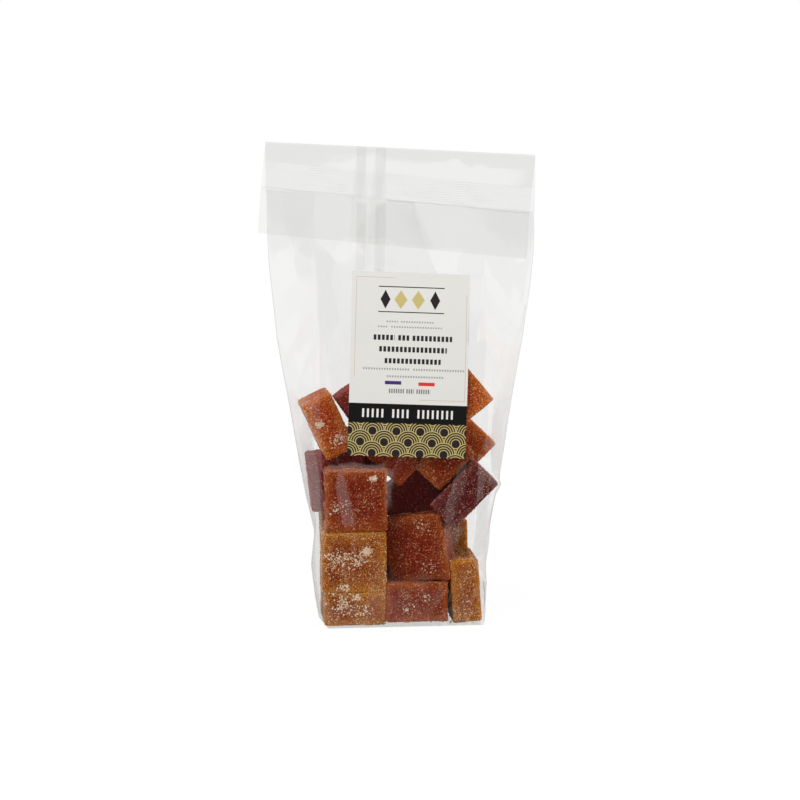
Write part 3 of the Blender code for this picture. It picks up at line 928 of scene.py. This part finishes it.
def makeBodyFilm(settings):
    marks, around = filmColumns(settings)
    half, side = settings["frontColumns"] // 2, settings["gussetColumns"]
    creases = {0, half, half + side, half + 2 * side, 3 * half + 2 * side, 3 * half + 3 * side,
               3 * half + 4 * side, 4 * half + 4 * side}
    creaseAt = (marks[half + side], marks[3 * half + 3 * side])
    columns, rows = len(marks), settings["rows"]
    top = bagShape["closeHeight"]
    randomly = np.random.default_rng(12)
    bm = bmesh.new()
    bmesh.ops.create_grid(bm, x_segments=columns, y_segments=rows, size=1.0)
    flat = (bm.verts.layers.float.new("around"), bm.verts.layers.float.new("along"))
    for vert in bm.verts:
        column = round((vert.co.x + 1.0) / 2.0 * columns)
        row = round((vert.co.y + 1.0) / 2.0 * rows)
        length = around if column == columns else marks[column]
        height = top * row / rows
        if 0 < row < rows and column not in (0, columns):
            wobble = randomly.uniform(-1.0, 1.0, 2) * settings["jitter"] * (top / rows)
            length += 0.0 if column in creases else wobble[0]
            height += wobble[1]
        vert[flat[0]] = length
        vert[flat[1]] = height
    places = tubePoints(np.array([vert[flat[0]] for vert in bm.verts]) / around * 0.99999,
                        np.array([vert[flat[1]] for vert in bm.verts]))
    for vert, place in zip(bm.verts, places):
        vert.co = place
    bmesh.ops.triangulate(bm, faces=bm.faces[:])
    skin = settings["skin"]
    squareBoxes = (centres, turns, halves + skin, settleSettings["cornerRadius"] + skin)
    labelLow, labelHigh = (np.array(corner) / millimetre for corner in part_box("label"))
    for level, rounds in enumerate(("coarseRounds", "middleRounds", "fineRounds")):
        if level:
            splitMesh(bm)
        bm.verts.ensure_lookup_table()
        points, edges, triangles, uv = meshArrays(bm, flat)
        rest = np.linalg.norm(uv[edges[:, 0]] - uv[edges[:, 1]], axis=1)
        # the film stays where it is at both ends and under the label
        pinned = (uv[:, 1] > top - settings["pinned"]) | (uv[:, 1] < 1e-3)
        under = (points > labelLow + 0.5) & (points < labelHigh - 0.5)
        pinned |= (points[:, 1] < 0) & under[:, 0] & under[:, 2]
        home = tubePoints(uv[:, 0] / around * 0.99999, uv[:, 1])
        away = np.minimum(abs(uv[:, 0] - creaseAt[0]), abs(uv[:, 0] - creaseAt[1]))
        outline = np.clip(1.0 - away / settings["creaseWidth"], 0.0, 1.0) * settings["creaseHold"]
        upper = smoothStep((uv[:, 1] - settings["upperFrom"]) / settings["upperSpan"]) * settings["upperHold"]
        hold = np.maximum(np.maximum(outline, upper), settings["lowerHold"])[:, None]
        # the two edges of the grid meet at the back and move as one
        near = np.flatnonzero(uv[:, 0] < 1e-3)
        far = np.flatnonzero(uv[:, 0] > around - 1e-3)
        near = near[np.argsort(uv[near, 1])]
        far = far[np.argsort(uv[far, 1])]
        merged = np.arange(len(points))
        merged[far] = near
        joined = merged[edges]
        keep = joined[:, 0] != joined[:, 1]
        pinned[far] = True
        moved = relaxFilm(points, joined[keep], rest[keep], pinned, merged[triangles], settings[rounds],
                          settings["suction"] / (level + 1), squareBoxes, home, hold, settings)
        moved[far] = moved[near]
        for vert, place in zip(bm.verts, moved):
            vert.co = place
        print("film level", level, "points", len(points))
    bmesh.ops.remove_doubles(bm, verts=bm.verts, dist=0.02)
    bmesh.ops.smooth_vert(bm, verts=[vert for vert in bm.verts if not vert.is_boundary], factor=0.15,
                          use_axis_x=True, use_axis_y=True, use_axis_z=True)
    bmesh.ops.recalc_face_normals(bm, faces=bm.faces[:])
    splitMesh(bm)
    bmesh.ops.smooth_vert(bm, verts=[vert for vert in bm.verts if not vert.is_boundary], factor=0.4,
                          use_axis_x=True, use_axis_y=True, use_axis_z=True)
    bm.normal_update()
    raiseCreases(bm, settings["creases"])
    return newFilmPiece("bagFilm", bm)


bodyFilm = makeBodyFilm(filmSettings)

baseSettings = {
    "points": 96, "inset": 0.995, "height": 0.25, "lip": 1.2, "lipHeight": 0.9, "middleHeight": 0.45,
}


def makeBaseFilm(settings):
    # the flat bottom, with a low lip where the folded ends are welded
    around = np.arange(settings["points"]) / settings["points"]
    ring = tubePoints(around, np.zeros(settings["points"]))
    bm = bmesh.new()
    loop = [bm.verts.new((*place[:2] * settings["inset"], settings["lipHeight"])) for place in ring]
    bm.faces.new(loop)
    bmesh.ops.inset_region(bm, faces=bm.faces[:], thickness=settings["lip"] * 0.15, depth=0.0)
    for vert in bm.verts:
        if vert not in loop:
            vert.co.z = settings["height"]
    inner = [face for face in bm.faces if len(face.verts) > 4]
    bmesh.ops.inset_region(bm, faces=inner, thickness=settings["lip"], depth=0.0)
    inner = [face for face in bm.faces if len(face.verts) > 4]
    for vert in inner[0].verts:
        vert.co.z = settings["middleHeight"]
    bmesh.ops.triangulate(bm, faces=bm.faces[:])
    bmesh.ops.recalc_face_normals(bm, faces=bm.faces[:])
    newFilmPiece("bagBase", bm)


makeBaseFilm(baseSettings)

seamStrips = {"Left": (-20.3, -16.0), "Right": (-11.7, -6.8)}  # where the film lies double, from x to x


def makeBackSeam(name, left, right):
    # the tube's long joint lies over the back panel, where the film is double
    skin = BVHTree.FromObject(bodyFilm, bpy.context.evaluated_depsgraph_get())
    bm = bmesh.new()
    bmesh.ops.create_grid(bm, x_segments=3, y_segments=96, size=1.0)
    for vert in bm.verts:
        x = left + (right - left) * (vert.co.x + 1.0) / 2.0
        z = 2.0 + (bagShape["closeHeight"] - 3.0) * (vert.co.y + 1.0) / 2.0
        hit = skin.ray_cast(Vector((x, 60.0, z)) * millimetre, Vector((0.0, -1.0, 0.0)))[0]
        vert.co = (x, hit.y / millimetre + 0.15, z)
    bmesh.ops.recalc_face_normals(bm, faces=bm.faces[:])
    newFilmPiece(name, bm)


for side, (left, right) in seamStrips.items():
    makeBackSeam("backSeam" + side, left, right)
print("bag film made")

topSettings = {
    "columns": 150, "bandRib": 0.86, "ribHeight": 0.14, "headerRows": 10, "foldRows": 10, "upperRows": 30,
    "bandRows": 54, "freeRows": 22,
    # how far the layers have fused, which makes the film clearer; in the pillow the same attribute holds a
    # painted highlight that clears the film further
    "fusedHeader": 0.86, "fusedBand": 1.64, "fusedFlap": 0.20, "pillowHighlight": 1.60,
    # layer: place in the header, place in the flap
    "backSheet": (0.32, -1.20), "frontSheet": (-0.22, -0.75),
    # the pillow: how far it stands off, where it ends, its left and right ends and how they fade
    "pillow": 2.0, "pillowEnd": 0.86, "pillowSides": ((-42.0, 16.0), (60.0, 10.0)),
    # how far the flap hangs off the front, and its own curl, parting and lifted left corner at the mouth
    "hang": 0.7, "curl": 0.5, "parting": 0.5, "cornerLift": 1.2, "pressedBack": 0.3,
}


def topPoint(x, length, layer, settings):
    # a point of the film above the closed body: up the header, over the fold and down the flap
    behind, before = settings[layer]
    slope = bagShape["foldSlope"]
    along = np.array([1.0, slope]) / math.hypot(1.0, slope)
    across = np.array([-along[1], along[0]])
    beyond = (length - bagShape["foldHeight"] - slope * x) * along[0]
    radius = (behind - before) / 2.0
    angle = np.clip(beyond / radius, -math.pi / 2, math.pi / 2)
    rise = radius * np.cos(angle) - radius - np.maximum(np.abs(beyond) - math.pi / 2 * radius, 0.0)
    depth = (behind + before) / 2.0 - radius * np.sin(angle)
    along0 = x * along[0] + (length - bagShape["foldHeight"]) * along[1]
    place = along0 * along + rise * across
    place = place + np.array([0.0, bagShape["foldHeight"]])
    if beyond < 0:
        close = bagShape["closeHeight"]
        share = (length - close) / (bagShape["foldHeight"] + slope * x - close)
        low = close + bagShape["closeSlope"] * x
        place = np.array([x, low + (place[1] - low) * share]) if share < 1.0 else place
    return place[0], depth, place[1], beyond


def makeTopSheet(name, layer, settings):
    bandEnd = bagShape["filmLength"] - bagShape["sealFromMouth"]
    bandStart = bandEnd - bagShape["sealWidth"]
    fold = bagShape["foldHeight"]
    rows = []  # share of the way between two marks, and the marks
    stretches = (("headerRows", "close", "under"), ("foldRows", "under", "over"),
                 ("upperRows", "over", "start"), ("bandRows", "start", "end"), ("freeRows", "end", "mouth"))
    for key, first, last in stretches:
        rows += [(i / settings[key], first, last) for i in range(settings[key])]
    rows.append((1.0, "end", "mouth"))
    bm = bmesh.new()
    bmesh.ops.create_grid(bm, x_segments=settings["columns"], y_segments=len(rows) - 1, size=1.0)
    fusedAndHighlight = bm.verts.layers.float.new("fusedAndHighlight")
    rib = bm.verts.layers.float.new("ribbed")
    outer = layer == "backSheet"
    for vert in bm.verts:
        x = bagShape["flapReach"] * vert.co.x
        share, first, last = rows[round((vert.co.y + 1.0) / 2.0 * (len(rows) - 1))]
        turnOver = fold + bagShape["foldSlope"] * x
        marks = {"close": bagShape["closeHeight"], "under": turnOver - 2.0, "over": turnOver + 2.0,
                 "start": bandStart, "end": bandEnd, "mouth": bagShape["filmLength"]}
        length = marks[first] + (marks[last] - marks[first]) * share
        px, py, pz, beyond = topPoint(x, length, layer, settings)
        vert[fusedAndHighlight] = settings["fusedHeader"]
        if first == "start":
            wave = math.sin((length - bandStart) * 2.0 * math.pi / settings["bandRib"])
            py += settings["ribHeight"] * wave * (1.0 if outer else 0.6)
            vert[fusedAndHighlight] = settings["fusedBand"]
            vert[rib] = 1.0
        if first == "over":
            # the outer sheet stands off in a long pillow that is fullest just above the band
            begin = 0.22 + 0.10 * math.sin(x * 0.16 + 0.6) + 0.16 * noise.noise(Vector((x * 0.11, 4.0, 2.0)))
            rise = min(max((share - begin) / (settings["pillowEnd"] - begin), 0.0), 1.0)
            fall = min(max((1.0 - share) / (1.0 - settings["pillowEnd"]), 0.0), 1.0)
            (left, leftFade), (right, rightFade) = settings["pillowSides"]
            reach = float(smoothStep((x - left) / leftFade) * smoothStep((right - x) / rightFade))
            py -= settings["pillow"] * rise * fall * reach * (1.0 if outer else 0.0)
            # painted highlight: along the pillow the film is made clearer through the fused attribute, up to
            # a ragged edge
            edge = 0.30 + 0.10 * math.sin(x * 0.16 + 0.6) + 0.30 * noise.noise(Vector((x * 0.14, 4.0, 2.0)))
            edge += 0.35 * float(smoothStep((-16.0 - x) / 18.0))
            shine = float(smoothStep((share - edge) / 0.08)) * reach
            vert[fusedAndHighlight] += (settings["pillowHighlight"] - settings["fusedHeader"]) * shine
        if first == "end":
            free = length - bandEnd
            vert[fusedAndHighlight] = settings["fusedFlap"]
            body = -float(halfDepth(np.array([pz]))[0]) * (1.0 - min(abs(x) / 62.0, 1.0) ** 4) - 0.6
            hang = -settings["hang"] - bagShape["flapLean"] * free
            inFront = settings[layer][1] - settings["frontSheet"][1]
            py = min(body * float(smoothStep(free / 4.0)) + inFront, hang)
            down = free / 20.0
            apart = settings["parting"] * down if outer else 0.0
            curl = settings["curl"] * noise.noise(Vector((x * 0.05, free * 0.07, 9.0))) * down
            lift = float(smoothStep((-46.0 - x) / 14.0)) * settings["cornerLift"] * down
            py -= apart + curl + lift - settings["pressedBack"] * down
        vert.co = (px, py, pz)
    bmesh.ops.recalc_face_normals(bm, faces=bm.faces[:])
    newFilmPiece(name, bm)


makeTopSheet("flapBackSheet", "backSheet", topSettings)
makeTopSheet("flapFrontSheet", "frontSheet", topSettings)


def makeSeamLip(name, left, right, settings):
    # where the tube's edges overlap the film lies double
    foldFrom, foldTo = bagShape["foldHeight"] - 2.0, bagShape["foldHeight"] + 3.5
    lengths = np.concatenate([np.linspace(bagShape["closeHeight"], foldFrom, 8),
                              np.linspace(foldFrom, foldTo, 10)[1:],
                              np.linspace(foldTo, bagShape["filmLength"], 40)[1:]])
    bandEnd = bagShape["filmLength"] - bagShape["sealFromMouth"]
    bm = bmesh.new()
    bmesh.ops.create_grid(bm, x_segments=2, y_segments=len(lengths) - 1, size=1.0)
    fusedAndHighlight = bm.verts.layers.float.new("fusedAndHighlight")
    for vert in bm.verts:
        x = left + (right - left) * (vert.co.x + 1.0) / 2.0
        length = float(lengths[round((vert.co.y + 1.0) / 2.0 * (len(lengths) - 1))])
        px, py, pz, beyond = topPoint(x, length, "backSheet", settings)
        vert[fusedAndHighlight] = 1.0
        if length > bandEnd:
            py = min(py, -settings["hang"] - bagShape["flapLean"] * (length - bandEnd)) - 0.9
        elif beyond > 2.0:
            py -= 2.1 if length < bandEnd - bagShape["sealWidth"] else 0.35
        else:
            py += 0.15
        vert.co = (px, py, pz)
    bmesh.ops.recalc_face_normals(bm, faces=bm.faces[:])
    newFilmPiece(name, bm)


for side, (left, right) in seamStrips.items():
    makeSeamLip("seamLip" + side, left, right, topSettings)
print("flap and seam made")


# label

labelPrint = {
    "size": (54.3, 83.3), "middle": (1.9, 121.0), "turn": 2.6,
    # colour: bars as left, right, top and bottom in millimetres from the label's top left corner
    "black": [(0.0, 54.3, 59.3, 68.0), (12.3, 42.6, 6.3, 6.75), (12.3, 42.6, 17.6, 18.05)],
    "bold": [(10.5, 20.2, 28.2, 30.6), (21.8, 26.8, 28.2, 30.6), (28.4, 46.6, 28.2, 30.6),
             (13.2, 44.3, 33.4, 35.8), (15.8, 41.6, 38.7, 41.0)],
    "pale": [(16.2, 21.5, 21.8, 22.5), (22.8, 38.4, 21.8, 22.5), (12.3, 17.0, 24.2, 24.9),
             (18.4, 41.8, 24.2, 24.9), (6.0, 27.5, 43.1, 44.0), (29.0, 52.6, 43.1, 44.0),
             (17.0, 43.0, 46.4, 47.3)],
    "grey": [(18.2, 25.0, 52.4, 54.4), (26.2, 29.6, 52.4, 54.4), (30.8, 37.2, 52.4, 54.4)],
    "blue": [(16.2, 23.7, 48.9, 50.5)],
    "red": [(31.6, 39.1, 49.2, 50.8)],
    "frame": [(1.9, 20.0, 2.3, 2.6), (1.9, 2.2, 2.3, 47.7), (52.9, 53.2, 9.2, 57.4),
              (32.0, 53.2, 57.1, 57.4)],
    "white": [(6.2, 17.0, 61.7, 65.6), (20.0, 28.8, 61.7, 65.6), (31.6, 49.0, 61.7, 65.6)],
    # bars of a kind are broken into strokes: pitch and filled share
    "strokes": {"bold": (1.9, 0.66), "pale": (1.2, 0.6), "grey": (1.05, 0.55), "white": (2.2, 0.42)},
    # lozenges: middle across and down, half width, half height, colour
    "lozenges": [(15.5, 12.2, 2.3, 4.2, "ink"), (22.6, 12.2, 3.0, 4.2, "gold"),
                 (30.6, 12.2, 3.0, 4.2, "gold"), (38.4, 12.2, 2.3, 4.2, "ink")],
    # fans: top of their field, pitch across and down, and the middle of the first one
    "fans": (68.0, 11.0, 5.05, 5.7, 76.75), "rings": (0.38, 0.58, 0.78, 0.97), "ringHalf": 0.036,
    "colours": {"black": (0.006, 0.006, 0.006), "bold": (0.02, 0.02, 0.02), "pale": (0.34, 0.34, 0.34),
                "grey": (0.16, 0.15, 0.15), "blue": (0.055, 0.025, 0.17), "red": (0.72, 0.03, 0.035),
                "frame": (0.62, 0.49, 0.43), "white": (0.75, 0.74, 0.72)},
    "paper": (0.70, 0.695, 0.67), "gold": (0.55, 0.45, 0.17), "ink": (0.020, 0.014, 0.016),
}


def makeFanGroup(settings):
    # overlapping rows of ringed fans, the lower rows in front
    tree = bpy.data.node_groups.new("fanRings", "ShaderNodeTree")
    for name in ("Across", "Down", "Pitch", "Row Pitch", "First Across", "First Down"):
        tree.interface.new_socket(name, in_out="INPUT", socket_type="NodeSocketFloat")
    tree.interface.new_socket("Gold", in_out="OUTPUT", socket_type="NodeSocketFloat")
    given = addNode(tree, "NodeGroupInput").outputs
    result = addNode(tree, "NodeGroupOutput")
    radius = maths(tree, "MULTIPLY", given["Pitch"], 0.5)
    level = maths(tree, "SUBTRACT", given["Down"], given["First Down"])
    level = maths(tree, "DIVIDE", level, given["Row Pitch"])
    lowest = maths(tree, "FLOOR", level)
    found = None
    for offset in (0.0, 1.0, 2.0):
        row = maths(tree, "ADD", lowest, offset)
        odd = maths(tree, "FLOORED_MODULO", row, 2.0)
        start = maths(tree, "MULTIPLY_ADD", odd, radius, given["First Across"])
        over = maths(tree, "SUBTRACT", given["Across"], start)
        around = maths(tree, "SUBTRACT", maths(tree, "FLOORED_MODULO", maths(tree, "ADD", over, radius),
                                               given["Pitch"]), radius)
        down = maths(tree, "MULTIPLY", maths(tree, "SUBTRACT", level, row), given["Row Pitch"])
        away = maths(tree, "SQRT", maths(tree, "ADD", maths(tree, "MULTIPLY", around, around),
                                         maths(tree, "MULTIPLY", down, down)))
        reach = maths(tree, "DIVIDE", away, radius)
        rings = None
        for ring in settings["rings"]:
            away = maths(tree, "ABSOLUTE", maths(tree, "SUBTRACT", reach, ring))
            line = maths(tree, "LESS_THAN", away, settings["ringHalf"])
            rings = line if rings is None else maths(tree, "MAXIMUM", rings, line)
        if found is None:
            found = rings
            continue
        inFan = maths(tree, "LESS_THAN", reach, 1.012)
        behind = maths(tree, "MULTIPLY", maths(tree, "SUBTRACT", 1.0, inFan), found)
        found = maths(tree, "ADD", maths(tree, "MULTIPLY", inFan, rings), behind)
    tree.links.new(found, result.inputs["Gold"])
    return tree


def within(tree, value, low, high):
    middle, half = (low + high) / 2.0, (high - low) / 2.0
    return maths(tree, "LESS_THAN", maths(tree, "ABSOLUTE", maths(tree, "SUBTRACT", value, middle)), half)


def makeLabelMaterial(settings):
    material, tree, output = newMaterial("labelPaper")
    coords = addNode(tree, "ShaderNodeTexCoord").outputs["Object"]
    middle = settings["middle"]
    turn = math.radians(settings["turn"])
    local = addNode(tree, "ShaderNodeMapping", {
        "Vector": coords, "Location": (middle[0] * millimetre, 0.0, middle[1] * millimetre),
        "Rotation": (0.0, turn, 0.0), "Scale": (millimetre,) * 3}, vector_type="TEXTURE")
    axes = addNode(tree, "ShaderNodeSeparateXYZ", {0: local.outputs[0]})
    across = maths(tree, "ADD", axes.outputs["X"], settings["size"][0] / 2.0)
    down = maths(tree, "SUBTRACT", settings["size"][1] / 2.0, axes.outputs["Z"])
    colour = addNode(tree, "ShaderNodeRGB").outputs[0]
    colour.default_value = (*settings["paper"], 1.0)
    for name, value in settings["colours"].items():
        mask = None
        for left, right, top, bottom in settings[name]:
            bar = maths(tree, "MULTIPLY", within(tree, across, left, right), within(tree, down, top, bottom))
            if name in settings["strokes"]:
                pitch, fill = settings["strokes"][name]
                part = maths(tree, "FLOORED_MODULO", maths(tree, "SUBTRACT", across, left), pitch)
                bar = maths(tree, "MULTIPLY", bar, maths(tree, "LESS_THAN", part, pitch * fill))
            mask = bar if mask is None else maths(tree, "MAXIMUM", mask, bar)
        colour = mixColours(tree, mask, colour, (*value, 1.0))
    for x, y, halfWide, halfHigh, ink in settings["lozenges"]:
        spread = maths(tree, "DIVIDE", maths(tree, "ABSOLUTE", maths(tree, "SUBTRACT", across, x)), halfWide)
        rise = maths(tree, "DIVIDE", maths(tree, "ABSOLUTE", maths(tree, "SUBTRACT", down, y)), halfHigh)
        colour = mixColours(tree, maths(tree, "LESS_THAN", maths(tree, "ADD", spread, rise), 1.0), colour,
                            (*settings[ink], 1.0))
    top, pitch, rowPitch, firstAcross, firstDown = settings["fans"]
    fans = addNode(tree, "ShaderNodeGroup", node_tree=makeFanGroup(settings))
    for name, value in (("Pitch", pitch), ("Row Pitch", rowPitch), ("First Across", firstAcross),
                        ("First Down", firstDown)):
        fans.inputs[name].default_value = value
    tree.links.new(across, fans.inputs["Across"])
    tree.links.new(down, fans.inputs["Down"])
    pattern = mixColours(tree, fans.outputs["Gold"], (*settings["ink"], 1.0), (*settings["gold"], 1.0))
    colour = mixColours(tree, maths(tree, "GREATER_THAN", down, top), colour, pattern)
    shader = addNode(tree, "ShaderNodeBsdfPrincipled", {"Base Color": colour, "Roughness": 0.45,
                                                        "Specular IOR Level": 0.35})
    tree.links.new(shader.outputs[0], output.inputs["Surface"])
    return material


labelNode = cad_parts["label"]
labelNode.material_slots[0].material = makeLabelMaterial(labelPrint)
print("label printed")
